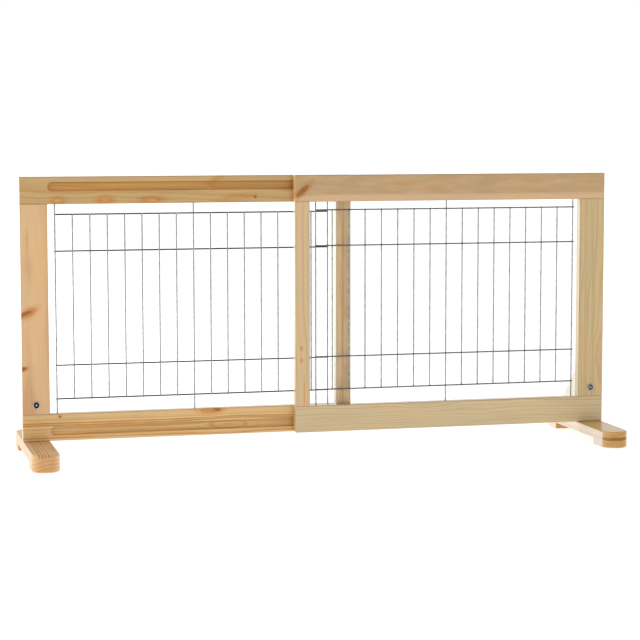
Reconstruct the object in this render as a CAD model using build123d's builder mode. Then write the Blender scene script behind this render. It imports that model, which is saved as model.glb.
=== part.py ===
from build123d import *
import os
from math import asin, cos, radians, sin, tan

# A free-standing pet gate in pine and welded wire whose width adjusts.
#
# Two framed panels overlap face to face, and each stands on its own cross foot.
# The left panel is the rear one: its rails are grooved on the mating face, and it
# is a little longer than the right one.
# Dovetail runners on the right, front panel slide in those grooves, so the gate
# opens from its closed width to its open width.  The model stands fully open.
#
# Frame: +X along the gate, +Y from front to back, +Z up, millimetres.  The origin
# is on the floor, midway along the open gate and midway between the two panels.

# Overall sizes
open_width = 1080.0
gate_height = 495.0
foot_depth = 310.0

# How the two panels pass each other
open_overlap = 108.0      # length the panels share with the gate fully open
rear_extra = 4.0          # the rear panel is this much longer than the front one
panel_gap = 1.0           # between the two mating faces

# Frame boards
board = 18.0
rail_height = 48.0
outer_stile_width = 48.0
inner_stile_width = 27.0
arris = 1.5               # rounding of the long edges

# Cross feet
foot_width = 48.0
foot_height = 30.0
foot_corner = 22.0        # corner radius seen from above
foot_arris = 2.5
pad_length = 60.0         # each end of the foot that touches the floor
arch_height = 11.5

# Braces behind the outer stiles
brace_board = 18.0
brace_height = 124.0
brace_setback = 7.5       # rear brace's toe to the end of the foot
brace_blunt = 3.0         # the sharp corners are cut square by this much
brace_screw_inset = 15.0  # brace screw to the arch's rear end

# Welded mesh
wire = 2.5
wire_pitch = 30.8
mesh_end_margin = 10.0    # least distance from a stile to the first upright
mesh_rise = 26.9          # lowest cross wire above the bottom rail
mesh_drop = 16.6          # highest cross wire below the top rail
mesh_lift = {"left": -1.7, "right": 1.7}    # each mesh sits a little off the middle of its frame
mesh_outward = {"left": 0.5, "right": 1.0}
low_band = 59.7           # from the lowest cross wire to the next
high_band = 64.4          # from the highest cross wire to the next
wire_tail = 1.5           # wire past the middle of the last weld
weld_depth = 0.3          # how far crossing wires sink into each other
wire_hole_depth = 10.0
wire_clearance = 0.1      # on the radius, and at the wire's end

# Dovetail slide
groove_width = 16.0       # at the mating face
groove_depth = 9.0
groove_slope = 14.0       # degrees that each side leans outwards
groove_inset = 17.5       # groove's middle to the rail's outer edge
groove_start = 0.5        # groove's closed end past the outer stile
slide_clearance = 0.3
runner_inset = 2.0        # runner to the end of the front panel
runner_screw_inset = 16.0
stop_diameter = 8.0
stop_inset = 14.0         # stop's middle to the end of the rear panel
stop_seat = 6.0           # depth of the stop's hole below the groove

# Dowelled frame joints
dowel_diameter = 8.0
dowel_spacing = 24.0
dowel_in_stile = 17.0
dowel_wall = 3.25         # wood left between a dowel hole and the groove
glue_gap = 0.05           # on the radius of pressed dowels, screws and nuts
dowel_end_gap = 0.5

# Brace bolts with cross-dowel nuts
bolt_diameter = 6.0
bolt_rise = 16.5          # bolt's middle above the bottom rail
bolt_head_diameter = 12.0
bolt_head_height = 3.6
bolt_hole_clearance = 0.25
bolt_run_out = 5.0        # bolt past its nut
nut_diameter = 10.0
nut_length = 14.0
nut_setback = 22.0        # nut's middle to the stile's back
nut_slot = 1.6

# Countersunk wood screws
foot_screw_diameter = 4.5
foot_screw_head = 9.0
foot_screw_bite = 26.0    # length in the rail or the brace
foot_screw_spacing = 24.0
runner_screw_diameter = 3.5
runner_screw_head = 7.0
runner_screw_bite = 12.0
hole_end_gap = 1.0

# Sizes that follow
panel_length = {
    "left": (open_width + open_overlap + rear_extra) / 2,
    "right": (open_width + open_overlap - rear_extra) / 2,
}
stile_length = gate_height - foot_height - 2 * rail_height
stile_widths = outer_stile_width + inner_stile_width
opening_length = {side: length - stile_widths for side, length in panel_length.items()}
bottom_rail_top = foot_height + rail_height
top_rail_bottom = gate_height - rail_height
groove_floor_width = groove_width + 2 * groove_depth * tan(radians(groove_slope))
groove_floor_edge = groove_inset + groove_floor_width / 2
dowel_in_rail = rail_height - groove_floor_edge - dowel_wall
arch_length = foot_depth - 2 * pad_length
brace_depth = foot_depth / 2 - panel_gap / 2 - board - brace_setback
brace_screw_y = arch_length / 2 - brace_screw_inset
bolt_z = bottom_rail_top + bolt_rise
bolt_length = board + nut_setback + nut_diameter / 2 + bolt_run_out
foot_screw_length = foot_height - arch_height + foot_screw_bite
runner_thickness = panel_gap + groove_depth - slide_clearance
runner_screw_length = runner_thickness + runner_screw_bite
runner_length = open_overlap - runner_inset - stop_inset - stop_diameter / 2 - slide_clearance
upright_count = int((opening_length["right"] - 2 * mesh_end_margin) / wire_pitch) + 1
mesh_length = (upright_count - 1) * wire_pitch
first_upright = {side: outer_stile_width + (length - mesh_length) / 2 - mesh_outward[side]
                 for side, length in opening_length.items()}
lowest_cross = {side: bottom_rail_top + mesh_rise + lift for side, lift in mesh_lift.items()}
highest_cross = {side: top_rail_bottom - mesh_drop + lift for side, lift in mesh_lift.items()}

sides = {"left": -1, "right": 1}
levels = ("top", "bottom")


def x_at(side, inset):
    """The place along the gate that lies inset from a panel's outer end."""
    return sides[side] * (open_width / 2 - inset)


def y_at(side, depth):
    """The place across the gate that lies depth inside a panel's mating face."""
    return -sides[side] * (panel_gap / 2 + depth)


def stile_front(side):
    """The side of the stile that faces forwards, where the bolt's head lies."""
    return min(y_at(side, 0), y_at(side, board))


def stile_back(side):
    """The side of the stile that faces backwards, where the brace stands."""
    return max(y_at(side, 0), y_at(side, board))


def groove_z(level):
    """The height of a groove's middle."""
    return gate_height - groove_inset if level == "top" else foot_height + groove_inset


def inner_face(level):
    """The height of a rail's face inside the frame, and the way it faces."""
    return (top_rail_bottom, (0, 0, -1)) if level == "top" else (bottom_rail_top, (0, 0, 1))


def outer_dowel_insets():
    """Places of the dowels in an outer stile, from the panel's outer end."""
    middle = outer_stile_width / 2
    return [middle - dowel_spacing / 2, middle + dowel_spacing / 2]


def inner_dowel_insets(side):
    """Place of the dowel in an inner stile, from the panel's outer end."""
    return [panel_length[side] - inner_stile_width / 2]


def upright_insets(side, long):
    """Places of the mesh's long uprights, or of all the others."""
    long_ones = {0, upright_count // 2, upright_count - 1}
    return [first_upright[side] + i * wire_pitch for i in range(upright_count) if (i in long_ones) == long]


def foot_screw_places(side):
    """Places of the screws that rise through a foot: two in the rail, one in the brace."""
    middle = outer_stile_width / 2
    half = foot_screw_spacing / 2
    rail_y = y_at(side, board / 2)
    in_rail = [(x_at(side, middle - half), rail_y), (x_at(side, middle + half), rail_y)]
    return in_rail + [(x_at(side, middle), brace_screw_y)]


def runner_screw_xs():
    """Places along the gate of the two screws in each runner."""
    start = x_at("right", panel_length["right"]) + runner_inset
    return [start + runner_screw_inset, start + runner_length - runner_screw_inset]


def save(piece, name):
    """Labels a finished piece and writes it as its own node."""
    piece.part.label = name
    export_step(piece.part, f"parts/{name}.step")


def cross_recess(width, depth):
    """The tapered cross that a screwdriver fits, hanging down from the origin."""
    with BuildPart() as recess:
        with BuildSketch(Plane.XY):
            Rectangle(width, width / 4)
            Rectangle(width / 4, width)
        extrude(amount=-depth, taper=8)
    return recess.part


def countersunk_screw(diameter, head, length):
    """A wood screw whose head lies flush in the XY plane and whose tip points down."""
    radius = diameter / 2
    head_radius = head / 2
    recess = cross_recess(head * 0.5, head * 0.25)
    with BuildPart() as screw:
        with BuildSketch(Plane.XZ):
            with BuildLine():
                Polyline(
                    (0, 0),
                    (head_radius, 0),
                    (radius, radius - head_radius),
                    (radius, diameter * 1.5 - length),
                    (0, -length),
                    close=True,
                )
            make_face()
        revolve(axis=Axis.Z)
        add(recess, mode=Mode.SUBTRACT)
    return screw.part


def groove(level):
    """The dovetail groove, closed and round at one end, with the stop's hole in its floor."""
    z_middle = groove_z(level)
    mouth = y_at("left", 0)
    floor = y_at("left", groove_depth)
    mouth_half = groove_width / 2
    floor_half = groove_floor_width / 2
    x_round = x_at("left", outer_stile_width + groove_start + mouth_half)
    x_open = x_at("left", panel_length["left"])
    with BuildPart() as groove:
        with BuildSketch(Plane.YZ.offset(x_round)):
            with BuildLine():
                Polyline(
                    (mouth, z_middle - mouth_half),
                    (floor, z_middle - floor_half),
                    (floor, z_middle + floor_half),
                    (mouth, z_middle + mouth_half),
                    close=True,
                )
            make_face()
        extrude(amount=x_open - x_round)
        with Locations(Plane((x_round, (mouth + floor) / 2, z_middle), z_dir=(0, 1, 0))):
            Cone(mouth_half, floor_half, groove_depth)
        with BuildSketch(Plane.XZ.offset(-mouth)):
            with Locations((x_open - stop_inset, z_middle)):
                Circle(stop_diameter / 2 + glue_gap)
        extrude(amount=-(groove_depth + stop_seat))
    return groove.part


def rail(side, level):
    """A rail as long as its panel, with the holes and the groove that meet it."""
    z_inside, facing = inner_face(level)
    y_middle = y_at(side, board / 2)
    z_bottom = top_rail_bottom if level == "top" else foot_height
    length = panel_length[side]
    dowels = outer_dowel_insets() + inner_dowel_insets(side)
    slot = groove(level)
    with BuildPart() as rail:
        with BuildSketch(Plane.XY.offset(z_bottom)):
            with Locations((x_at(side, length / 2), y_middle)):
                Rectangle(length, board)
        extrude(amount=rail_height)
        fillet(rail.edges(), arris)
        with Locations(*[Plane((x_at(side, i), y_middle, z_inside), z_dir=facing) for i in dowels]):
            Hole(dowel_diameter / 2 + glue_gap, dowel_in_rail)
        y_wire = y_at(side, upright_depth())
        wires = upright_insets(side, long=True)
        with Locations(*[Plane((x_at(side, i), y_wire, z_inside), z_dir=facing) for i in wires]):
            Hole(wire / 2 + wire_clearance, wire_hole_depth)
        if level == "bottom":
            under = [Plane((x, y, foot_height), z_dir=(0, 0, -1)) for x, y in foot_screw_places(side)[:2]]
            with Locations(*under):
                Hole(foot_screw_diameter / 2 + glue_gap, foot_screw_bite + hole_end_gap)
        if side == "left":
            add(slot, mode=Mode.SUBTRACT)
        else:
            drill = [Plane((x, y_at(side, 0), groove_z(level)), z_dir=(0, 1, 0)) for x in runner_screw_xs()]
            with Locations(*drill):
                Hole(runner_screw_diameter / 2 + glue_gap, runner_screw_bite + hole_end_gap)
    return rail


def stile(side, width, inset, dowels):
    """An upright of the frame, butted between the rails and dowelled to them."""
    y_middle = y_at(side, board / 2)
    ends = ((bottom_rail_top, (0, 0, -1)), (top_rail_bottom, (0, 0, 1)))
    with BuildPart() as stile:
        with BuildSketch(Plane.XY.offset(bottom_rail_top)):
            with Locations((x_at(side, inset + width / 2), y_middle)):
                Rectangle(width, board)
        extrude(amount=stile_length)
        fillet(stile.edges().filter_by(Axis.Z), arris)
        for z, facing in ends:
            with Locations(*[Plane((x_at(side, i), y_middle, z), z_dir=facing) for i in dowels]):
                Hole(dowel_diameter / 2 + glue_gap, dowel_in_stile)
    return stile


def outer_stile(side):
    """The wide stile over the foot, drilled for the brace bolt."""
    blank = stile(side, outer_stile_width, 0, outer_dowel_insets()).part
    bolt_start = (x_at(side, outer_stile_width / 2), stile_front(side), bolt_z)
    with BuildPart() as outer_stile:
        add(blank)
        with Locations(Plane(bolt_start, z_dir=(0, -1, 0))):
            Hole(bolt_diameter / 2 + bolt_hole_clearance, board)
    return outer_stile


def inner_stile(side):
    """The narrow stile at the end of the panel that slides past the other."""
    inset = panel_length[side] - inner_stile_width
    return stile(side, inner_stile_width, inset, inner_dowel_insets(side))


def frame_dowels(side):
    """The dowels hidden in the four corners of one frame."""
    y_middle = y_at(side, board / 2)
    insets = outer_dowel_insets() + inner_dowel_insets(side)
    in_stile = dowel_in_stile - dowel_end_gap
    in_rail = dowel_in_rail - dowel_end_gap
    starts = (bottom_rail_top - in_rail, top_rail_bottom - in_stile)
    with BuildPart() as frame_dowels:
        for z_start in starts:
            with BuildSketch(Plane.XY.offset(z_start)):
                with Locations(*[(x_at(side, i), y_middle) for i in insets]):
                    Circle(dowel_diameter / 2)
            extrude(amount=in_stile + in_rail)
        ends = frame_dowels.edges().filter_by(GeomType.CIRCLE)
        chamfer(ends, dowel_end_gap)
    return frame_dowels


def upright_depth():
    """Depth of the uprights' middles inside the mating face."""
    return board / 2 - (wire - weld_depth) / 2


def cross_depth():
    """Depth of the cross wires' middles inside the mating face."""
    return board / 2 + (wire - weld_depth) / 2


def mesh_uprights(side):
    """The mesh's uprights: three long ones end in the rails, the rest at the mesh's edges."""
    y_wire = y_at(side, upright_depth())
    short_start = lowest_cross[side] - wire_tail
    short_length = highest_cross[side] - lowest_cross[side] + 2 * wire_tail
    reach = wire_hole_depth - wire_clearance
    with BuildPart() as mesh_uprights:
        with BuildSketch(Plane.XY.offset(short_start)):
            with Locations(*[(x_at(side, i), y_wire) for i in upright_insets(side, long=False)]):
                Circle(wire / 2)
        extrude(amount=short_length)
        with BuildSketch(Plane.XY.offset(bottom_rail_top - reach)):
            with Locations(*[(x_at(side, i), y_wire) for i in upright_insets(side, long=True)]):
                Circle(wire / 2)
        extrude(amount=stile_length + 2 * reach)
    return mesh_uprights


def mesh_cross_wires(side):
    """The four cross wires, in two bands, welded to every upright."""
    y_wire = y_at(side, cross_depth())
    lowest, highest = lowest_cross[side], highest_cross[side]
    heights = (lowest, lowest + low_band, highest - high_band, highest)
    ends = (x_at(side, first_upright[side]), x_at(side, first_upright[side] + mesh_length))
    with BuildPart() as mesh_cross_wires:
        with BuildSketch(Plane.YZ.offset(min(ends) - wire_tail)):
            with Locations(*[(y_wire, z) for z in heights]):
                Circle(wire / 2)
        extrude(amount=mesh_length + 2 * wire_tail)
    return mesh_cross_wires


def foot(side):
    """A cross foot: round-cornered from above, hollowed below between two pads."""
    x_middle = x_at(side, foot_width / 2)
    drill = [Plane((x, y, arch_height), z_dir=(0, 0, -1)) for x, y in foot_screw_places(side)]
    with BuildPart() as foot:
        with BuildSketch(Plane.XY):
            with Locations((x_middle, 0)):
                RectangleRounded(foot_width, foot_depth, foot_corner)
        extrude(amount=foot_height)
        fillet(foot.faces().sort_by(Axis.Z)[-1].edges(), foot_arris)
        chamfer(foot.faces().sort_by(Axis.Z)[0].edges(), arris)
        with BuildSketch(Plane.YZ.offset(x_middle - foot_width / 2)):
            with Locations((0, arch_height / 2)):
                Rectangle(arch_length, arch_height)
        extrude(amount=foot_width, mode=Mode.SUBTRACT)
        with Locations(*drill):
            CounterSinkHole(
                foot_screw_diameter / 2 + glue_gap,
                foot_screw_head / 2 + glue_gap,
                depth=foot_height,
                counter_sink_angle=90,
            )
    return foot


def foot_screws(side):
    """The three screws that hold a foot to its rail and its brace."""
    screw = countersunk_screw(foot_screw_diameter, foot_screw_head, foot_screw_length)
    places = [Plane((x, y, arch_height), z_dir=(0, 0, -1)) for x, y in foot_screw_places(side)]
    with BuildPart() as foot_screws:
        with Locations(*places):
            add(screw)
    return foot_screws


def brace(side):
    """The triangular board that props an outer stile up from its foot."""
    x_middle = x_at(side, outer_stile_width / 2)
    front = stile_back(side)
    toe = front + brace_depth
    top = foot_height + brace_height
    slope = brace_height / brace_depth
    bolt_start = (x_middle, front, bolt_z)
    nut_face = x_middle - sides[side] * brace_board / 2
    with BuildPart() as brace:
        with BuildSketch(Plane.YZ.offset(x_middle - brace_board / 2)):
            with BuildLine():
                Polyline(
                    (front, foot_height),
                    (toe, foot_height),
                    (toe, foot_height + brace_blunt * slope),
                    (front + brace_blunt, top),
                    (front, top),
                    close=True,
                )
            make_face()
        extrude(amount=brace_board)
        sloped = brace.edges().filter_by(Axis.X, reverse=True).group_by(Axis.Z)[-1]
        fillet(sloped, arris / 2)
        with Locations(Plane(bolt_start, z_dir=(0, -1, 0))):
            Hole(bolt_diameter / 2 + bolt_hole_clearance, bolt_length - board + hole_end_gap)
        nut_start = (nut_face, front + nut_setback, bolt_z)
        with Locations(Plane(nut_start, z_dir=(-sides[side], 0, 0))):
            Hole(nut_diameter / 2 + glue_gap, (brace_board + nut_length) / 2 + glue_gap)
        under = Plane((x_middle, brace_screw_y, foot_height), z_dir=(0, 0, -1))
        with Locations(under):
            Hole(foot_screw_diameter / 2 + glue_gap, foot_screw_bite + hole_end_gap)
    return brace


def brace_bolt(side):
    """The pan-headed bolt through an outer stile into its brace."""
    radius = bolt_diameter / 2
    head_radius = bolt_head_diameter / 2
    rim = bolt_head_height / 2
    dome = bolt_head_height - rim
    dome_radius = (head_radius**2 + dome**2) / (2 * dome)
    half_way = asin(head_radius / dome_radius) / 2
    dome_point = (dome_radius * sin(half_way), bolt_head_height - dome_radius * (1 - cos(half_way)))
    recess = cross_recess(bolt_head_diameter * 0.52, bolt_head_height * 0.7)
    with BuildPart() as blank:
        with BuildSketch(Plane.XZ):
            with BuildLine():
                Polyline(
                    (0, bolt_head_height),
                    (0, -bolt_length),
                    (radius, -bolt_length),
                    (radius, 0),
                    (head_radius, 0),
                    (head_radius, rim),
                )
                ThreePointArc((head_radius, rim), dome_point, (0, bolt_head_height))
            make_face()
        revolve(axis=Axis.Z)
        chamfer(blank.faces().sort_by(Axis.Z)[0].edges(), bolt_diameter / 8)
        with Locations((0, 0, bolt_head_height)):
            add(recess, mode=Mode.SUBTRACT)
    place = Plane((x_at(side, outer_stile_width / 2), stile_front(side), bolt_z), z_dir=(0, -1, 0))
    with BuildPart() as brace_bolt:
        with Locations(place):
            add(blank.part)
    return brace_bolt


def barrel_nut(side):
    """The cross dowel in the brace that the bolt draws up to, slotted to be turned."""
    x_middle = x_at(side, outer_stile_width / 2)
    middle = (x_middle, stile_back(side) + nut_setback, bolt_z)
    nut_face = x_middle - sides[side] * nut_length / 2
    with BuildPart() as barrel_nut:
        with Locations(Plane(middle, z_dir=(1, 0, 0))):
            Cylinder(nut_diameter / 2, nut_length)
        chamfer(barrel_nut.edges().filter_by(GeomType.CIRCLE), nut_slot / 4)
        with Locations((nut_face, middle[1], middle[2])):
            Box(2 * nut_slot, nut_diameter, nut_slot, mode=Mode.SUBTRACT)
        with Locations(Plane(middle, z_dir=(0, 1, 0))):
            Cylinder(bolt_diameter / 2 + glue_gap, nut_diameter, mode=Mode.SUBTRACT)
    return barrel_nut


def runner(level):
    """A dovetail strip on the front panel that slides in the rear panel's groove."""
    z_middle = groove_z(level)
    lean = tan(radians(groove_slope))
    mouth_half = groove_width / 2 - slide_clearance
    base_half = mouth_half - panel_gap * lean
    top_half = base_half + runner_thickness * lean
    base = y_at("right", 0)
    x_start = x_at("right", panel_length["right"]) + runner_inset
    top = base + runner_thickness
    drill = [Plane((x, top, z_middle), z_dir=(0, 1, 0)) for x in runner_screw_xs()]
    with BuildPart() as runner:
        with BuildSketch(Plane.YZ.offset(x_start)):
            with BuildLine():
                Polyline(
                    (base, z_middle - base_half),
                    (top, z_middle - top_half),
                    (top, z_middle + top_half),
                    (base, z_middle + base_half),
                    close=True,
                )
            make_face()
        extrude(amount=runner_length)
        chamfer(runner.faces().sort_by(Axis.Y)[-1].edges(), arris / 2)
        with Locations(*drill):
            CounterSinkHole(
                runner_screw_diameter / 2 + glue_gap,
                runner_screw_head / 2 + glue_gap,
                depth=runner_thickness,
                counter_sink_angle=90,
            )
    return runner


def runner_screws():
    """The screws that hold both runners to the front panel's rails."""
    screw = countersunk_screw(runner_screw_diameter, runner_screw_head, runner_screw_length)
    top = y_at("right", 0) + runner_thickness
    places = [Plane((x, top, groove_z(level)), z_dir=(0, 1, 0)) for level in levels for x in runner_screw_xs()]
    with BuildPart() as runner_screws:
        with Locations(*places):
            add(screw)
    return runner_screws


def slide_stops():
    """The dowels across the grooves that keep the runners from leaving them."""
    x_stop = x_at("left", panel_length["left"]) - stop_inset
    with BuildPart() as slide_stops:
        with BuildSketch(Plane.XZ.offset(-y_at("left", 0))):
            with Locations(*[(x_stop, groove_z(level)) for level in levels]):
                Circle(stop_diameter / 2)
        extrude(amount=-(groove_depth + stop_seat - glue_gap))
    return slide_stops


os.makedirs("parts", exist_ok=True)
for side in sides:
    for level in levels:
        save(rail(side, level), f"{side}_{level}_rail")
    save(outer_stile(side), f"{side}_outer_stile")
    save(inner_stile(side), f"{side}_inner_stile")
    save(frame_dowels(side), f"{side}_frame_dowels")
    save(mesh_uprights(side), f"{side}_mesh_uprights")
    save(mesh_cross_wires(side), f"{side}_mesh_cross_wires")
    save(foot(side), f"{side}_foot")
    save(foot_screws(side), f"{side}_foot_screws")
    save(brace(side), f"{side}_brace")
    save(brace_bolt(side), f"{side}_brace_bolt")
    save(barrel_nut(side), f"{side}_barrel_nut")
for level in levels:
    save(runner(level), f"{level}_runner")
save(runner_screws(), "runner_screws")
save(slide_stops(), "slide_stops")
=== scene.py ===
from math import cos, radians, sin

import bmesh
import bpy
from mathutils import Matrix, Vector


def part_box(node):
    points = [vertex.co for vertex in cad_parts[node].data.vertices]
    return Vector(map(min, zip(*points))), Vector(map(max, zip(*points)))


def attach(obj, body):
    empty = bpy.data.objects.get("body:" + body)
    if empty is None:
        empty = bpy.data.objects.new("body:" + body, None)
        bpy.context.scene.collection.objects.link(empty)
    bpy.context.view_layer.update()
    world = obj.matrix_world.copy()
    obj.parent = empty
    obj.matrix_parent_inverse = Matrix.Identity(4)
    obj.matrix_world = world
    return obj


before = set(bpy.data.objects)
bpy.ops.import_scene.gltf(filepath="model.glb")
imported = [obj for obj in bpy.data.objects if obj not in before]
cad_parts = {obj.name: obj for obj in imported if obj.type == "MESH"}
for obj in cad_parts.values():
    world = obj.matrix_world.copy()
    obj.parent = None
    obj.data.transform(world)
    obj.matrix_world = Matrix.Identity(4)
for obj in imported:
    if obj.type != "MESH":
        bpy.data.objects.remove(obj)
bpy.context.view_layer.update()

MM = 0.001


# ---------------------------------------------------------------- small helpers

def colour(hex_value):
    """An sRGB hex value as a linear colour."""
    channels = [int(hex_value[i : i + 2], 16) / 255 for i in (1, 3, 5)]
    linear = [c / 12.92 if c <= 0.04045 else ((c + 0.055) / 1.055) ** 2.4 for c in channels]
    return (*linear, 1.0)


def add(tree, kind, inputs=None, stops=(), **settings):
    """Adds a node with its settings and colour stops, and links or sets its inputs."""
    made = tree.nodes.new("ShaderNode" + kind)
    if stops:
        made.color_ramp.interpolation = settings.pop("interpolation", "LINEAR")
        elements = made.color_ramp.elements
        while len(elements) < len(stops):
            elements.new(0.5)
        for element, (position, value) in zip(elements, stops):
            element.position = position
            element.color = value if isinstance(value, tuple) else (value, value, value, 1)
    for key, value in settings.items():
        setattr(made, key, value)
    for key, value in (inputs or {}).items():
        if isinstance(value, bpy.types.Node):
            value = value.outputs[0]
        if isinstance(value, bpy.types.NodeSocket):
            tree.links.new(value, made.inputs[key])
        else:
            made.inputs[key].default_value = value
    return made


def new_material(name):
    """An empty node material and its tree."""
    material = bpy.data.materials.new(name)
    material.use_nodes = True
    material.node_tree.nodes.clear()
    return material, material.node_tree


def dress(node, material):
    """Gives a CAD node its material in every slot."""
    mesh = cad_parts[node].data
    if not mesh.materials:
        mesh.materials.append(material)
    for i in range(len(mesh.materials)):
        mesh.materials[i] = material


# ---------------------------------------------------------------- pine

# Ways a board can lie: the directions of its length, its width and its thickness.
ALONG_GATE = Matrix(((1, 0, 0), (0, 0, 1), (0, -1, 0)))
UPRIGHT = Matrix(((0, 0, 1), (1, 0, 0), (0, 1, 0)))
ACROSS_GATE = Matrix(((0, 1, 0), (-1, 0, 0), (0, 0, 1)))
ON_EDGE_ACROSS = Matrix(((0, 1, 0), (0, 0, 1), (1, 0, 0)))
BRACE_ANGLE = radians(44)
BRACE_LEAN = Matrix((
    (0, cos(BRACE_ANGLE), -sin(BRACE_ANGLE)), (0, sin(BRACE_ANGLE), cos(BRACE_ANGLE)), (1, 0, 0)))

GRAIN_SQUEEZE = -0.72       # share of its distance that the grain moves in, at a knot's middle
SQUEEZE_FALL = -0.32        # how fast that dies away from the knot


def knot_group():
    """Node group: how far a point is from a knot, and the grain pushed aside by it."""
    tree = bpy.data.node_groups.new("knot", "ShaderNodeTree")
    sockets = (("Vector", "NodeSocketVector", "INPUT"), ("Centre", "NodeSocketVector", "INPUT"),
               ("Half", "NodeSocketVector", "INPUT"), ("Turn", "NodeSocketFloat", "INPUT"),
               ("Vector", "NodeSocketVector", "OUTPUT"), ("Distance", "NodeSocketFloat", "OUTPUT"))
    for name, kind, way in sockets:
        tree.interface.new_socket(name, socket_type=kind, in_out=way)
    given = tree.nodes.new("NodeGroupInput")
    result = tree.nodes.new("NodeGroupOutput")
    offset = add(tree, "VectorMath", {0: given.outputs["Vector"], 1: given.outputs["Centre"]},
                 operation="SUBTRACT")
    turned = add(tree, "VectorRotate", {"Vector": offset, "Angle": given.outputs["Turn"]}, rotation_type="Z_AXIS")
    scaled = add(tree, "VectorMath", {0: turned, 1: given.outputs["Half"]}, operation="DIVIDE")
    length = add(tree, "VectorMath", {0: scaled}, operation="LENGTH")
    distance = length.outputs["Value"]
    # The grain lines near a knot are squeezed towards its middle line, so they flow round it.
    square = add(tree, "Math", {0: distance, 1: distance}, operation="MULTIPLY")
    fall = add(tree, "Math", {0: square, 1: SQUEEZE_FALL}, operation="MULTIPLY")
    near = add(tree, "Math", {0: fall}, operation="EXPONENT")
    push = add(tree, "Math", {0: near, 1: GRAIN_SQUEEZE}, operation="MULTIPLY")
    move = add(tree, "VectorMath", {0: offset, "Scale": push}, operation="SCALE")
    sideways = add(tree, "VectorMath", {0: move, 1: (0, 1, 0)}, operation="MULTIPLY")
    moved = add(tree, "VectorMath", {0: given.outputs["Vector"], 1: sideways}, operation="ADD")
    tree.links.new(moved.outputs[0], result.inputs["Vector"])
    tree.links.new(distance, result.inputs["Distance"])
    return tree


KNOT = knot_group()
# Knots from heart to rim: live ones are golden, dead ones brown.
GOLDEN_KNOT = ("#D79B42", "#D3963C", "#CC8C34", "#BF7F2C")
BROWN_KNOT = ("#8C5300", "#AE6C06", "#A46104", "#774400")
KNOT_TONES_AT = (0.0, 0.45, 0.8, 1.0)
DEAD_KNOT = 0.6             # knots darker than this are dead ones
KNOT_SHADOW = "#E3B87E"     # ripples of late wood round a knot
RESIN_STAIN = "#F4C678"
RESIN_PATCH = "#FFE6C2"
CUT_END = "#FFEFD8"
# White for a painted reflection on a board's face.
PAINTED_REFLECTION_WHITE = "#F4ECDF"
# One year's ring from its start: pale early wood, then late wood that ends sharply.
RING_PROFILE = ((0.0, 0.10), (0.10, 0.0), (0.42, 0.10), (0.72, 0.50), (0.90, 1.0), (1.0, 0.12))

# The slide's groove, in millimetres.
GROOVE_INSET = 17.5         # its middle to the rail's outer edge
GROOVE_REACH = 10.6         # half its width at the floor, with room to spare
GROOVE_DEPTH = 9.0
# Painted light and shade from the groove's lower lip up to its upper one: brightened low down against the shade
# inside, painted shade under the upper lip.
GROOVE_SHADE = ((0.0, 1.45), (0.2, 1.32), (0.5, 1.2), (0.78, 1.1), (0.9, 0.75))

# Real sizes of the pine's figure, in millimetres along, across and through a board.
SLOW_BEND = (190, 60, 60)
QUICK_BEND = (45, 11, 11)
FIBRE = (70, 1.1, 1.1)      # drawn coarser than the real 0.03 mm, so that it shows from a few metres
BLOTCH = (130, 22, 22)
TORN_FIBRE = (200, 1.5, 8)
ARRIS = (1.9, 0.4)          # the rounded edge starts and ends this far from a board's corner


def per_mm(size):
    """Pattern repeats per millimetre for a real size."""
    return tuple(1 / mm for mm in size)


def board_place(tree, node, lie):
    """Where a point is on a board, which way the surface faces there, and the board's half sizes.

    The place is in millimetres along, across and through the board from its middle.
    """
    low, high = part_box(node)
    half = lie @ (high - low) / 2 / MM
    place = add(tree, "TexCoord")
    start = add(tree, "VectorMath", {0: place.outputs["Object"], 1: (low + high) / 2}, operation="SUBTRACT")
    board = add(tree, "Mapping", {"Vector": start, "Rotation": lie.to_euler(), "Scale": (1 / MM, 1 / MM, 1 / MM)})
    facing = add(tree, "Mapping", {"Vector": place.outputs["Normal"], "Rotation": lie.to_euler()})
    return board.outputs[0], add(tree, "SeparateXYZ", {0: facing}), Vector((abs(half.x), abs(half.y), abs(half.z)))


def bend_round_knots(tree, board, half, knots):
    """Knots push the grain aside one after another."""
    flow = board
    distances = []
    for along, across, half_along, half_across, turn, dark in knots:
        knot = tree.nodes.new("ShaderNodeGroup")
        knot.node_tree = KNOT
        tree.links.new(flow, knot.inputs["Vector"])
        knot.inputs["Centre"].default_value = (along - half.x, across - half.y, 0)
        knot.inputs["Half"].default_value = (half_along, half_across, 400)
        knot.inputs["Turn"].default_value = radians(turn)
        flow = knot.outputs["Vector"]
        distances.append((knot.outputs["Distance"], dark))
    return flow, distances


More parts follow.
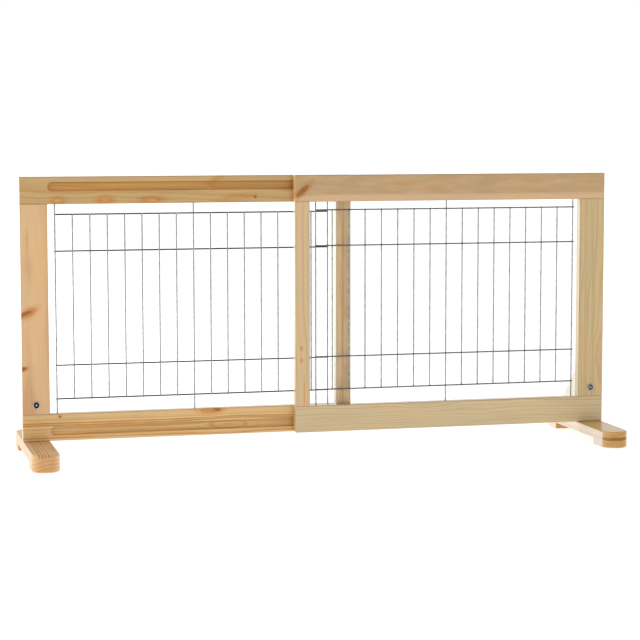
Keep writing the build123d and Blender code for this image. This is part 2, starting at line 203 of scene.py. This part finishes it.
def growth_rings(tree, flow, slow_wobble, quick_wobble, ring, pith, lean, wave, strength):
    """Distance from the pith, made uneven by slow and quick wobbles, as pale to dark rings."""
    log = add(tree, "Mapping", {
        "Vector": flow, "Location": (0, -pith[0], -pith[1]),
        "Rotation": (0, radians(lean[0]), radians(lean[1]))})
    across_log = add(tree, "VectorMath", {0: log, 1: (0, 1, 1)}, operation="MULTIPLY")
    radius = add(tree, "VectorMath", {0: across_log}, operation="LENGTH").outputs["Value"]
    slow_mm = add(tree, "Math", {0: slow_wobble, 1: wave * 4, 2: radius}, operation="MULTIPLY_ADD")
    quick_mm = add(tree, "Math", {0: quick_wobble, 1: wave * 0.45, 2: slow_mm}, operation="MULTIPLY_ADD")
    ring_number = add(tree, "Math", {0: quick_mm, 1: ring}, operation="DIVIDE")
    uneven = add(tree, "TexNoise", {"W": ring_number, "Scale": 0.37, "Detail": 0.0}, noise_dimensions="1D")
    ring_place = add(tree, "Math", {0: uneven, 1: 1.6, 2: ring_number}, operation="MULTIPLY_ADD")
    within = add(tree, "Math", {0: ring_place}, operation="FRACT")
    whole = add(tree, "Math", {0: ring_place}, operation="FLOOR")
    each = add(tree, "TexWhiteNoise", {"W": whole}, noise_dimensions="1D")
    depth = add(tree, "MapRange", {"Value": each, "To Min": 0.45, "To Max": 1.0})
    late_wood = add(tree, "ValToRGB", {0: within}, stops=RING_PROFILE)
    banded = add(tree, "Math", {0: late_wood, 1: depth}, operation="MULTIPLY")
    return add(tree, "Math", {0: banded, 1: strength}, operation="MULTIPLY")


def strong_rings(tree, banding, flow, slow_wobble, quick_wobble, half, streaks, wave, skin):
    """Single strong rings that show as lines along the board."""
    parts = add(tree, "SeparateXYZ", {0: flow})
    broken = add(tree, "MapRange", {"Value": quick_wobble, "From Min": 0.3, "From Max": 0.6,
                                    "To Min": 0.6, "To Max": 1.0})
    for across, reach, dark in streaks:
        sway = add(tree, "Math", {0: slow_wobble, 1: wave * 1.6, 2: parts.outputs["Y"]}, operation="MULTIPLY_ADD")
        away = add(tree, "Math", {0: sway, 1: across - half.y + wave * 0.8}, operation="SUBTRACT")
        size = add(tree, "Math", {0: away}, operation="ABSOLUTE")
        blur = min(0.6 * reach, 1.8)
        line = add(tree, "MapRange", {"Value": size, "From Min": reach + blur, "From Max": reach - blur,
                                      "To Min": 0.0, "To Max": dark}, interpolation_type="SMOOTHSTEP")
        drawn = add(tree, "Math", {0: line, 1: broken}, operation="MULTIPLY", use_clamp=True)
        if skin:
            shallow = add(tree, "MapRange", {"Value": parts.outputs["Z"], "From Min": half.z - skin,
                                             "From Max": half.z})
            drawn = add(tree, "Math", {0: drawn, 1: shallow}, operation="MULTIPLY")
        banding = add(tree, "Math", {0: banding, 1: drawn}, operation="MAXIMUM")
    return banding


def paint_knots(tree, wood, distances, quick_wobble, fibre):
    """Rings that ripple round the knot, a resin-stained halo, then a heart with a darker rim."""
    for distance, dark in distances:
        dead = dark > DEAD_KNOT
        rough_edge = add(tree, "Math", {0: quick_wobble, 1: 0.7, 2: distance}, operation="MULTIPLY_ADD")
        edge = add(tree, "Math", {0: rough_edge, 1: 0.35}, operation="SUBTRACT")
        halo = add(tree, "MapRange", {"Value": edge, "From Min": 2.3, "From Max": 0.9,
                                      "To Min": 0.0, "To Max": min(0.55, 0.05 + dark)},
                   interpolation_type="SMOOTHSTEP")
        turns = add(tree, "Math", {0: edge, 1: 8.5}, operation="MULTIPLY")
        wave = add(tree, "Math", {0: turns}, operation="SINE")
        # A live knot hardly ripples; dead ones and mere swirls in the grain do.
        ripple_depth = 0.15 if 0.1 < dark < DEAD_KNOT else 0.5
        near = add(tree, "MapRange", {"Value": edge, "From Min": 1.9, "From Max": 1.0,
                                      "To Min": 0.0, "To Max": ripple_depth})
        crest = add(tree, "MapRange", {"Value": wave, "From Min": 0.2})
        ripple = add(tree, "Math", {0: near, 1: crest}, operation="MULTIPLY")
        rippled = add(tree, "Mix", {"Factor": ripple, "A": wood, "B": colour(KNOT_SHADOW)},
                      data_type="RGBA", blend_type="MULTIPLY")
        stained = add(tree, "Mix", {"Factor": halo, "A": rippled.outputs["Result"], "B": colour(RESIN_STAIN)},
                      data_type="RGBA", blend_type="MULTIPLY")
        tones = BROWN_KNOT if dead else GOLDEN_KNOT
        heart = add(tree, "ValToRGB", {0: edge}, stops=[
            (at, colour(tone)) for at, tone in zip(KNOT_TONES_AT, tones)])
        ragged = add(tree, "MapRange", {"Value": fibre, "From Min": 0.3, "From Max": 0.7,
                                        "To Min": 0.75, "To Max": 1.25})
        lively = add(tree, "VectorMath", {0: heart, "Scale": ragged}, operation="SCALE")
        core = add(tree, "MapRange", {"Value": edge, "From Min": 1.15, "From Max": 0.7 if dead else 0.45,
                                      "To Min": 0.0, "To Max": min(1.0, dark * 1.7)},
                   interpolation_type="SMOOTHSTEP")
        mixed = add(tree, "Mix", {"Factor": core, "A": stained.outputs["Result"], "B": lively}, data_type="RGBA")
        wood = mixed.outputs["Result"]
    return wood


def paint_groove(tree, wood, here, shifted, half, outer, groove_light, tone):
    """The routed groove cuts through the fibres: warmer and streaky, with painted light against the shade inside
    it and painted shade under its upper lip.
    """
    off_line = add(tree, "Math", {0: here.outputs["Y"], 1: outer * (half.y - GROOVE_INSET)}, operation="SUBTRACT")
    aside = add(tree, "Math", {0: off_line}, operation="ABSOLUTE")
    inside = add(tree, "Math", {0: aside, 1: GROOVE_REACH}, operation="LESS_THAN")
    deep = add(tree, "MapRange", {"Value": here.outputs["Z"], "From Min": half.z - 0.6, "From Max": half.z - 1.6})
    above_floor = add(tree, "Math", {0: here.outputs["Z"], 1: half.z - GROOVE_DEPTH - 0.5},
                      operation="GREATER_THAN")
    below_face = add(tree, "Math", {0: deep, 1: above_floor}, operation="MULTIPLY")
    cut = add(tree, "Math", {0: inside, 1: below_face}, operation="MULTIPLY")
    torn_at = add(tree, "VectorMath", {0: shifted, 1: per_mm(TORN_FIBRE)}, operation="MULTIPLY")
    torn = add(tree, "TexNoise", {"Vector": torn_at, "Scale": 1.0, "Detail": 2.0})
    # Painted light and shade across the groove: lifted towards its lower lip against the shade inside, painted
    # shade under its upper lip, all times the board's groove brightness.
    width = add(tree, "MapRange", {"Value": off_line, "From Min": -10, "From Max": 10})
    lip = add(tree, "ValToRGB", {0: width}, stops=GROOVE_SHADE)
    corner = add(tree, "Math", {0: lip, 1: groove_light}, operation="MULTIPLY")
    streaky = add(tree, "MapRange", {"Value": torn, "From Min": 0.35, "From Max": 0.65,
                                     "To Min": 0.80, "To Max": 1.12})
    shade = add(tree, "Math", {0: corner, 1: streaky}, operation="MULTIPLY")
    bright = add(tree, "VectorMath", {0: wood, "Scale": shade}, operation="SCALE")
    raw = add(tree, "Mix", {"Factor": 1.0, "A": bright, "B": colour(tone)}, data_type="RGBA",
              blend_type="MULTIPLY")
    routed = add(tree, "Mix", {"Factor": cut, "A": wood, "B": raw.outputs["Result"]}, data_type="RGBA")
    return routed.outputs["Result"]


def paint_ends_and_edges(tree, wood, here, facing, half, end_tone_and_light, painted_reflection):
    """Warms the cut ends, partly for the end grain's own tone and partly as painted light, paints shade along the
    rounded edges, and may paint a white reflection on the board's face turned to its own -Z.
    """
    endwise = add(tree, "Math", {0: facing.outputs["X"]}, operation="ABSOLUTE")
    end = add(tree, "MapRange", {"Value": endwise, "From Min": 0.5, "From Max": 0.95})
    # The end gain is partly the end grain's own tone and partly painted light, brightening or darkening each
    # board's cut ends for the light on them.
    warm = [channel * end_tone_and_light for channel in colour(CUT_END)[:3]]
    ended = add(tree, "VectorMath", {0: wood, 1: warm}, operation="MULTIPLY")
    wood = add(tree, "Mix", {"Factor": end, "A": wood, "B": ended}, data_type="RGBA").outputs["Result"]
    # Painted reflection: the board's face turned to its own -Z is whitened as though it mirrored the bright
    # studio.
    if painted_reflection:
        pale = add(tree, "MapRange", {"Value": facing.outputs["Z"], "From Min": -0.94, "From Max": -0.995,
                                      "To Min": 0.0, "To Max": painted_reflection})
        whitened = add(tree, "Mix", {"Factor": pale, "A": wood, "B": colour(PAINTED_REFLECTION_WHITE)}, data_type="RGBA")
        wood = whitened.outputs["Result"]
    # Painted shade: the rounded edges are darkened down to 0.74 of the wood's colour.
    start, stop = ARRIS
    wide = add(tree, "Math", {0: here.outputs["Y"]}, operation="ABSOLUTE")
    thick = add(tree, "Math", {0: here.outputs["Z"]}, operation="ABSOLUTE")
    side = add(tree, "MapRange", {"Value": wide, "From Min": half.y - start, "From Max": half.y - stop})
    face = add(tree, "MapRange", {"Value": thick, "From Min": half.z - start, "From Max": half.z - stop})
    painted_edge_shade_mask = add(tree, "Math", {0: side, 1: face}, operation="MINIMUM")
    rim = add(tree, "MapRange", {"Value": painted_edge_shade_mask, "To Min": 1.0, "To Max": 0.74})
    return add(tree, "VectorMath", {0: wood, "Scale": rim}, operation="SCALE")


def lacquered_pine(name, node, lie, early, late, ring=4.0, pith=(-10, -60), lean=(0.8, 0.5),
                   strength=0.8, wave=3.0, seed=0, knots=(), streaks=(), skin=0.0, groove=None,
                   end=1.0, painted_reflection=0.0, lacquer=0.8):
    """Planed pine under clear lacquer: pale early wood, amber late wood, glossy film.

    Sizes are in millimetres in the board's own directions: length, width and
    thickness from its middle.  Each knot is (along, across, half length, half
    width, turn in degrees, darkness) and each streak is (across, half width,
    darkness), both placed from the board's low corner.  Streaks stay within
    skin of the upper face if it is given.  The groove is its painted brightness,
    which lifts the shade inside it, and its tint; end is the brightness of the
    cut ends, partly their own tone and partly painted light; lacquer is the
    film's weight.
    """
    material, tree = new_material(name)
    board, facing, half = board_place(tree, node, lie)
    here = add(tree, "SeparateXYZ", {0: board})
    flow, distances = bend_round_knots(tree, board, half, knots)
    shifted = add(tree, "VectorMath", {0: flow, 1: (seed * 61, seed * 17, seed * 29)}, operation="ADD")
    slow = add(tree, "VectorMath", {0: shifted, 1: per_mm(SLOW_BEND)}, operation="MULTIPLY")
    slow_wobble = add(tree, "TexNoise", {"Vector": slow, "Scale": 1.0, "Detail": 1.0})
    quick = add(tree, "VectorMath", {0: shifted, 1: per_mm(QUICK_BEND)}, operation="MULTIPLY")
    quick_wobble = add(tree, "TexNoise", {"Vector": quick, "Scale": 1.0, "Detail": 2.0})
    banding = growth_rings(tree, flow, slow_wobble, quick_wobble, ring, pith, lean, wave, strength)
    banding = strong_rings(tree, banding, flow, slow_wobble, quick_wobble, half, streaks, wave, skin)

    thread = add(tree, "VectorMath", {0: shifted, 1: per_mm(FIBRE)}, operation="MULTIPLY")
    fibre = add(tree, "TexNoise", {"Vector": thread, "Scale": 1.0, "Detail": 3.0, "Roughness": 0.6})
    blotch_at = add(tree, "VectorMath", {0: shifted, 1: per_mm(BLOTCH)}, operation="MULTIPLY")
    blotch = add(tree, "TexNoise", {"Vector": blotch_at, "Scale": 1.0, "Detail": 2.0})
    rings = add(tree, "Mix", {"Factor": banding, "A": colour(early), "B": colour(late)}, data_type="RGBA")
    fibre_shade = add(tree, "MapRange", {"Value": fibre, "From Min": 0.25, "From Max": 0.75,
                                         "To Min": 0.92, "To Max": 1.06})
    blotch_shade = add(tree, "MapRange", {"Value": blotch, "From Min": 0.3, "From Max": 0.7,
                                          "To Min": 0.94, "To Max": 1.04})
    shade = add(tree, "Math", {0: fibre_shade, 1: blotch_shade}, operation="MULTIPLY")
    wood = add(tree, "VectorMath", {0: rings.outputs["Result"], "Scale": shade}, operation="SCALE").outputs[0]
    # Warmer patches where the resin lies.
    warm = add(tree, "MapRange", {"Value": blotch, "From Min": 0.5, "From Max": 0.75,
                                  "To Min": 0.0, "To Max": 0.5})
    tint = add(tree, "Mix", {"Factor": warm, "A": wood, "B": colour(RESIN_PATCH)}, data_type="RGBA",
               blend_type="MULTIPLY")
    wood = paint_knots(tree, tint.outputs["Result"], distances, quick_wobble, fibre)
    if groove:
        wood = paint_groove(tree, wood, here, shifted, half, 1 if "top" in node else -1, *groove)
    wood = paint_ends_and_edges(tree, wood, here, facing, half, end, painted_reflection)

    height = add(tree, "Math", {0: banding, 1: 0.6, 2: fibre}, operation="MULTIPLY_ADD")
    bump = add(tree, "Bump", {"Height": height, "Strength": 0.12, "Distance": 0.05 * MM})
    rough = add(tree, "MapRange", {"Value": fibre, "To Min": 0.28, "To Max": 0.4})
    shader = add(tree, "BsdfPrincipled", {
        "Base Color": wood, "Roughness": rough, "Normal": bump, "IOR": 1.3,
        "Coat Weight": lacquer, "Coat Roughness": 0.12, "Coat IOR": 1.42})
    add(tree, "OutputMaterial", {"Surface": shader})
    return material


# Each board: how it lies, its early and late wood, and its figure.
# The early and late wood colours also hold painted light: the top rails are painted darker and the bottom rails
# lighter, for how the light falls on them.
BOARDS = {
    "left_top_rail": dict(
        lie=ALONG_GATE, early="#CEA86F", late="#B78834", ring=4.6, pith=(18, -44), lean=(0.7, 0.9), seed=1,
        groove=(1.07, "#F4E2A6"),
        knots=((67, 6, 9, 5, 0, 0.5), (150, 6, 11, 5.5, 0, 0.55), (232, 6, 16, 4.5, 0, 0.6),
               (385, 8, 22, 4.5, -6, 0.3), (419, 9, 2.2, 1.6, 0, 0.65))),
    "left_bottom_rail": dict(
        lie=ALONG_GATE, early="#E6C388", late="#C88527", ring=6.8, pith=(-90, -30), lean=(-0.2, 0.1), seed=2,
        wave=2.2, strength=0.5, groove=(0.98, "#F6F2DE"),
        streaks=((30.5, 1.2, 1.3), (26.8, 1.2, 1.3), (36, 0.9, 0.6), (39.5, 0.7, 0.4), (19, 0.9, 0.5),
                 (13.5, 0.9, 0.5), (5, 1.1, 1.1)),
        knots=((335, 45, 17, 5, 0, 0.6), (346, 46, 7, 1.6, 8, 0.7), (65, 43, 2.6, 2.0, 0, 0.9),
               (369, 17, 34, 7, 0, 0.02))),
    "left_outer_stile": dict(
        lie=UPRIGHT, early="#E5BC8A", late="#CF9866", ring=9.0, pith=(-12, 60), lean=(0.4, 0.5), seed=3,
        knots=((181, 16, 6, 12, 35, 0.4), (175, 6, 4.0, 12, 36, 0.95), (81, 2, 3.4, 7, 12, 0.9),
               (306, 12, 14, 1.6, 0, 0.3))),
    "left_inner_stile": dict(
        lie=UPRIGHT, early="#D8BA8C", late="#AF854D", ring=5.5, pith=(6, 50), lean=(0.3, 0.4), wave=2.5, seed=4,
        streaks=((12, 2.0, 0.7),)),
    "left_foot": dict(
        lie=ACROSS_GATE, early="#F5CC9A", late="#AE7A3E", ring=8.0, pith=(-14, -74), lean=(0.5, 0.5), seed=5,
        strength=0.5, skin=9.0, end=0.8, lacquer=0.2,
        streaks=((36, 1.1, 1.0), (31, 1.2, 1.0), (26, 1.0, 0.9), (20, 1.0, 0.8), (12, 0.7, 0.3))),
    "left_brace": dict(
        lie=BRACE_LEAN, early="#E4C79A", late="#C2965C", ring=5.0, pith=(-50, -30), lean=(0.5, 0.8), seed=6),
    # The right top rail's cut end is painted much lighter: painted light against the shade it lies in.
    "right_top_rail": dict(
        lie=ALONG_GATE, early="#D8B58B", late="#B79563", ring=21, pith=(75, -30), lean=(0.2, 0.2), seed=11,
        wave=2.0, strength=0.35, end=1.8, streaks=((30.5, 18.5, 0.75),), knots=((14, 20, 15, 4.6, -42, 0.75),)),
    "right_bottom_rail": dict(
        lie=ALONG_GATE, early="#D8C095", late="#B69760", ring=3.2, pith=(40, -38), lean=(-0.5, 0.9), seed=12,
        wave=4.0, strength=0.7, end=1.2),
    "right_outer_stile": dict(
        lie=UPRIGHT, early="#D2B888", late="#AC894B", ring=3.6, pith=(34, 62), lean=(0.3, 0.25), wave=4.0, seed=13,
        strength=0.6, streaks=((13, 3.0, 0.3), (27, 2.0, 0.35))),
    "right_inner_stile": dict(
        lie=UPRIGHT, early="#DCBE92", late="#BF9A68", ring=5.0, pith=(-30, 40), lean=(0.4, 0.4), wave=2.0,
        seed=14, strength=0.6,
        knots=((105, 11, 3, 1.8, 0, 0.5), (83, 11, 3, 1.8, 0, 0.5), (20, 16, 20, 0.8, 0, 0.6))),
    # The right foot's and right brace's left faces are whitened with a painted reflection.
    "right_foot": dict(
        lie=ON_EDGE_ACROSS, early="#DDB675", late="#A6702A", ring=13.0, pith=(-90, 20), lean=(0.1, 0.2),
        wave=1.5, seed=15, strength=0.4, end=0.9, painted_reflection=0.68, lacquer=0.4,
        streaks=((16.5, 3.0, 1.2), (24, 1.0, 0.4), (8, 1.0, 0.35))),
    "right_brace": dict(
        lie=BRACE_LEAN, early="#EADBC0", late="#D4B78A", ring=4.5, pith=(-40, -26), lean=(0.5, 0.8), seed=16,
        painted_reflection=0.6),
}


def dress_boards():
    """Every board gets its own cut of pine, because no two show the same figure, and its colours also hold painted
    light.
    """
    for node, cut in BOARDS.items():
        dress(node, lacquered_pine(f"pine_{node}", node, **cut))


# ---------------------------------------------------------------- beech and metal

BOLT_HEAD_RADIUS = 6.0      # millimetres


def oiled_beech():
    """Turned beech dowel: even pinkish brown, with short dark flecks along the grain."""
    material, tree = new_material("beech")
    place = add(tree, "TexCoord").outputs["Object"]
    # Flecks about 11 mm long and 1 mm wide.
    fleck_at = add(tree, "VectorMath", {0: place, 1: (90, 900, 900)}, operation="MULTIPLY")
    fleck = add(tree, "TexNoise", {"Vector": fleck_at, "Scale": 1.0, "Detail": 3.0})
    shade = add(tree, "ValToRGB", {0: fleck}, stops=(
        (0.38, colour("#A87A4E")), (0.52, colour("#C99E70")), (0.7, colour("#D6AE82"))))
    bump = add(tree, "Bump", {"Height": fleck, "Strength": 0.15, "Distance": 0.04 * MM})
    shader = add(tree, "BsdfPrincipled", {"Base Color": shade, "Roughness": 0.5, "Normal": bump, "IOR": 1.5})
    add(tree, "OutputMaterial", {"Surface": shader})
    return material


def galvanised_wire(name, zinc, grey, rough_low, rough_high):
    """Drawn steel wire with a dull zinc coat: grey, faintly mottled, darker where it has dulled."""
    material, tree = new_material(name)
    place = add(tree, "TexCoord").outputs["Object"]
    # Mottling about 6 mm long, with drawing lines finer than the wire.
    mottle = add(tree, "TexNoise", {"Vector": place, "Scale": 160.0, "Detail": 3.0})
    drawn = add(tree, "TexNoise", {"Vector": place, "Scale": 1400.0, "Detail": 2.0})
    tone = add(tree, "ValToRGB", {0: mottle}, stops=((0.35, colour(grey)), (0.62, colour(zinc))))
    rough = add(tree, "MapRange", {"Value": mottle, "From Min": 0.3, "From Max": 0.7,
                                   "To Min": rough_high, "To Max": rough_low})
    bump = add(tree, "Bump", {"Height": drawn, "Strength": 0.2, "Distance": 0.03 * MM})
    shader = add(tree, "BsdfPrincipled", {
        "Base Color": tone, "Metallic": 0.9, "Roughness": rough, "Normal": bump})
    add(tree, "OutputMaterial", {"Surface": shader})
    return material


def zinc_plated_steel(name, head=None, painted_ring_darkness=0.3):
    """Screws and bolts with bright bluish zinc plating: slightly hazy, with a painted dark reflection round a
    bolt's driver recess.

    head is the bolt's node: a dark ring is painted on its pan head between the bright rim and the bright recess, a
    painted reflection, down to the third argument's share of its brightness.
    """
    material, tree = new_material(name)
    place = add(tree, "TexCoord").outputs["Object"]
    # Haze in patches of about 2 mm.
    haze = add(tree, "TexNoise", {"Vector": place, "Scale": 500.0, "Detail": 3.0})
    tone = add(tree, "ValToRGB", {0: haze}, stops=((0.35, colour("#B4BABF")), (0.65, colour("#DADFE2"))))
    if head:
        low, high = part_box(head)
        off_axis = add(tree, "VectorMath", {0: place, 1: (low + high) / 2}, operation="SUBTRACT")
        flat = add(tree, "VectorMath", {0: off_axis, 1: (1 / MM, 0, 1 / MM)}, operation="MULTIPLY")
        radius = add(tree, "VectorMath", {0: flat}, operation="LENGTH").outputs["Value"]
        share = add(tree, "MapRange", {"Value": radius, "From Max": BOLT_HEAD_RADIUS})
        # A painted reflection: a dark ring between the bright recess and the bright rim.
        dulled = add(tree, "ValToRGB", {0: share}, interpolation="EASE", stops=(
            (0.0, 1.0), (0.2, 1.0), (0.32, painted_ring_darkness), (0.76, painted_ring_darkness * 0.6), (0.9, 0.7), (1.0, 1.0)))
        ring_painted_tone = add(tree, "Mix", {"Factor": 1.0, "A": tone, "B": dulled}, data_type="RGBA", blend_type="MULTIPLY")
        tone = ring_painted_tone.outputs["Result"]
    rough = add(tree, "MapRange", {"Value": haze, "To Min": 0.22, "To Max": 0.38})
    bump = add(tree, "Bump", {"Height": haze, "Strength": 0.1, "Distance": 0.05 * MM})
    shader = add(tree, "BsdfPrincipled", {
        "Base Color": tone, "Metallic": 1.0, "Roughness": rough, "Normal": bump})
    add(tree, "OutputMaterial", {"Surface": shader})
    return material


# ---------------------------------------------------------------- welds

WIRE = 2.5 * MM
WELD_SIZE = (1.5 * MM, 1.1 * MM, 1.5 * MM)      # half sizes of a squeezed-out bead
LOW_BAND = 59.7 * MM        # from the lowest cross wire to the next
HIGH_BAND = 64.4 * MM       # from the highest cross wire to the next
UPRIGHTS = 17


def weld_beads(side, material):
    """Squeezed-out beads where the spot welder joined every upright to every cross wire."""
    cross_low, cross_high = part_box(f"{side}_mesh_cross_wires")
    upright_low, upright_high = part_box(f"{side}_mesh_uprights")
    depth = (max(cross_low.y, upright_low.y) + min(cross_high.y, upright_high.y)) / 2
    lowest, highest = cross_low.z + WIRE / 2, cross_high.z - WIRE / 2
    levels = (lowest, lowest + LOW_BAND, highest - HIGH_BAND, highest)
    first, last = upright_low.x + WIRE / 2, upright_high.x - WIRE / 2
    pitch = (last - first) / (UPRIGHTS - 1)
    shape = bmesh.new()
    for i in range(UPRIGHTS):
        for level in levels:
            place = Matrix.LocRotScale(Vector((first + i * pitch, depth, level)), None, Vector(WELD_SIZE))
            bmesh.ops.create_uvsphere(shape, u_segments=8, v_segments=5, radius=1.0, matrix=place)
    for face in shape.faces:
        face.smooth = True
    mesh = bpy.data.meshes.new(f"{side}_welds")
    shape.to_mesh(mesh)
    shape.free()
    mesh.materials.append(material)
    welds = bpy.data.objects.new(f"{side}_welds", mesh)
    bpy.context.scene.collection.objects.link(welds)
    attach(welds, f"{side}_frame")


def dress_metal_and_beech():
    """Wires, screws, bolts and nuts, and the beech runners and dowels."""
    # Lit and shaded copies of one galvanised wire: the uprights painted lighter, the cross wires painted shade,
    # the rear ones darkest.
    lit_upright_wire = galvanised_wire("galvanised_uprights", "#A9ACAF", "#84888B", 0.3, 0.45)
    shaded_cross_wire = {
        "left": galvanised_wire("galvanised_rear_cross_wires_painted_shade", "#3D4043", "#292B2E", 0.4, 0.55),
        "right": galvanised_wire("galvanised_front_cross_wires_painted_shade", "#74787B", "#575B5F", 0.4, 0.55)}
    weld = galvanised_wire("burnt_welds", "#5B5E60", "#3C3E40", 0.5, 0.65)
    # How dark each bolt head's painted reflection ring is: the left one's is painted darker.
    painted_ring_darkness = {"left": 0.05, "right": 0.25}
    zinc = zinc_plated_steel("zinc_plated_steel")
    beech = oiled_beech()
    for side in ("left", "right"):
        dress(f"{side}_mesh_uprights", lit_upright_wire)
        dress(f"{side}_mesh_cross_wires", shaded_cross_wire[side])
        weld_beads(side, weld)
        bolt = f"{side}_brace_bolt"
        dress(bolt, zinc_plated_steel(f"zinc_plated_{side}_bolt", bolt, painted_ring_darkness[side]))
        dress(f"{side}_barrel_nut", zinc)
        dress(f"{side}_foot_screws", zinc)
        dress(f"{side}_frame_dowels", beech)
    for node in ("top_runner", "bottom_runner", "slide_stops"):
        dress(node, beech)
    dress("runner_screws", zinc)


# ---------------------------------------------------------------- studio

FLOOR_HALF_SIZE = 40.0
FLOOR_GLOW = (0.76, 1.6)    # under the gate, and behind it on the left
WALL_GLOW = ((0.0, 1.0), (0.30, 1.0), (0.78, 0.44), (1.0, 0.40))    # from the horizon up to the ceiling
FRONT_WALL, BACK_WALL = 0.84, 1.01
SOFTBOX_GAIN = 2.3
SOFTBOX_EDGES = ((0.25, 0.0), (0.42, 1.0), (0.74, 1.0), (0.86, 0.0))
CAMERA_PLACE = (-0.88202, -3.47172, 0.58188)
CAMERA_TURN, CAMERA_TILT, CAMERA_ROLL = -14.2262, -5.5772, -0.0795      # degrees
LENS_MM = 111.633


def studio_floor():
    """A white light table: a matt white sheet, lit from below so that shadows stay faint."""
    mesh = bpy.data.meshes.new("floor")
    shape = bmesh.new()
    bmesh.ops.create_grid(shape, x_segments=1, y_segments=1, size=FLOOR_HALF_SIZE)
    shape.to_mesh(mesh)
    shape.free()
    floor = bpy.data.objects.new("floor", mesh)
    bpy.context.scene.collection.objects.link(floor)
    material, tree = new_material("light_table")
    place = add(tree, "SeparateXYZ", {0: add(tree, "TexCoord").outputs["Object"]})
    behind = add(tree, "MapRange", {"Value": place.outputs["Y"], "From Min": 0.3, "From Max": 1.5})
    left = add(tree, "MapRange", {"Value": place.outputs["X"], "From Min": 0.6, "From Max": -0.8})
    lit = add(tree, "Math", {0: behind, 1: left}, operation="MULTIPLY")
    glow = add(tree, "MapRange", {"Value": lit, "To Min": FLOOR_GLOW[0], "To Max": FLOOR_GLOW[1]})
    shader = add(tree, "BsdfPrincipled", {
        "Base Color": colour("#BEBEBD"), "Roughness": 0.7, "IOR": 1.3,
        "Emission Color": colour("#FFFFFF"), "Emission Strength": glow})
    add(tree, "OutputMaterial", {"Surface": shader})
    mesh.materials.append(material)


def studio_light():
    """White walls all round under a dim ceiling, the front wall a little dimmer."""
    world = bpy.data.worlds.new("studio")
    world.use_nodes = True
    tree = world.node_tree
    tree.nodes.clear()
    way = add(tree, "TexCoord").outputs["Generated"]
    parts = add(tree, "SeparateXYZ", {0: way})
    wall = add(tree, "ValToRGB", {0: parts.outputs["Z"]}, interpolation="EASE", stops=WALL_GLOW)
    front = add(tree, "MapRange", {"Value": parts.outputs["Y"], "From Min": -1.0, "From Max": 0.3,
                                   "To Min": FRONT_WALL, "To Max": BACK_WALL})
    # A tall softbox behind on the left, whose reflection whitens the faces turned that way.
    leftward = add(tree, "MapRange", {"Value": parts.outputs["X"], "From Min": -1.0, "From Max": 0.0})
    strip = add(tree, "ValToRGB", {0: leftward}, interpolation="EASE", stops=SOFTBOX_EDGES)
    behind = add(tree, "MapRange", {"Value": parts.outputs["Y"], "From Min": 0.0, "From Max": 0.3})
    softbox = add(tree, "Math", {0: strip, 1: behind}, operation="MULTIPLY")
    lit = add(tree, "Math", {0: softbox, 1: SOFTBOX_GAIN, 2: 1.0}, operation="MULTIPLY_ADD")
    sides = add(tree, "Math", {0: front, 1: lit}, operation="MULTIPLY")
    strength = add(tree, "Math", {0: sides, 1: wall}, operation="MULTIPLY")
    background = add(tree, "Background", {"Color": (1, 1, 1, 1), "Strength": strength})
    add(tree, "OutputWorld", {"Surface": background})
    bpy.context.scene.world = world


def studio_camera():
    """Low, well to the left of the gate, with a long lens."""
    turn = Matrix.Rotation(radians(CAMERA_TURN), 4, "Z")
    tilt = Matrix.Rotation(radians(90 + CAMERA_TILT), 4, "X")
    roll = Matrix.Rotation(radians(CAMERA_ROLL), 4, "Z")
    data = bpy.data.cameras.new("camera")
    data.lens = LENS_MM
    data.sensor_width = 36.0
    camera = bpy.data.objects.new("camera", data)
    camera.matrix_world = Matrix.Translation(CAMERA_PLACE) @ turn @ tilt @ roll
    bpy.context.scene.collection.objects.link(camera)
    bpy.context.scene.camera = camera


studio_camera()
studio_light()
studio_floor()
dress_boards()
dress_metal_and_beech()
bpy.context.scene.view_settings.view_transform = "Standard"
